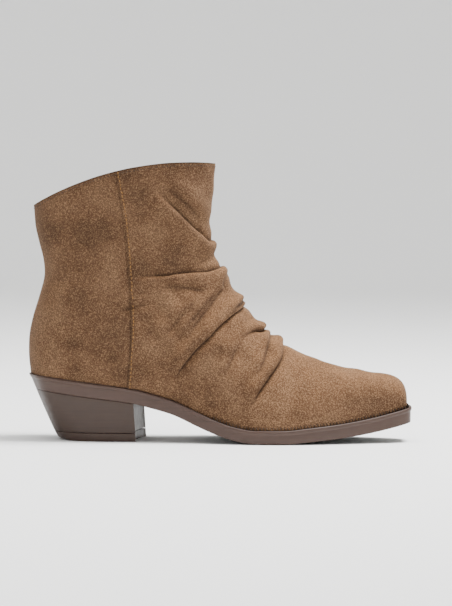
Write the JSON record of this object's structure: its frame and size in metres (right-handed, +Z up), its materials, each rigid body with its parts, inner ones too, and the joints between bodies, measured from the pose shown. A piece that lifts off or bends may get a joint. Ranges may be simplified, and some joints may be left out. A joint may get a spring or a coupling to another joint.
{
  "type": "slouch ankle boot",
  "caption": "Right slouch ankle boot in suede with gathered instep folds, squared narrow toe, low block heel, moulded sole and an inner side zip with a turning pull tab.",
  "frame": {"origin": "on the floor, in the middle of the boot's box", "axes": "+X towards the toe, +Y towards the inner side of the foot, +Z up the shaft"},
  "size_m": [0.2681, 0.0909, 0.1937],
  "materials": {
    "suede": "brushed suede, matt nap",
    "sole_rubber": "moulded, soft sheen",
    "heel_rubber": "moulded, faint stacked lines",
    "tread_rubber": "matt",
    "lining": "smooth lining leather",
    "zip_tape": "woven tape",
    "zip_metal": "dark antiqued metal"
  },
  "bodies": {
    "boot": {"outsole": "sole_rubber", "forepart_tread": "tread_rubber", "heel_block": "heel_rubber", "heel_top_piece": "heel_rubber", "insole": "lining", "upper": "suede", "zip_tape_front": "zip_tape", "zip_tape_back": "zip_tape", "zip_teeth_front": "zip_metal", "zip_teeth_back": "zip_metal", "zip_slider": "zip_metal"},
    "pull": {"zip_pull": "zip_metal"}
  },
  "joints": [
    {"name": "pull_hinge", "type": "hinge", "parent": "boot", "child": "pull", "pos_m": [-0.06037, 0.03338, 0.18213], "axis": [0.9764, -0.1323, 0.1704], "range_deg": [0, 170]}
  ]
}
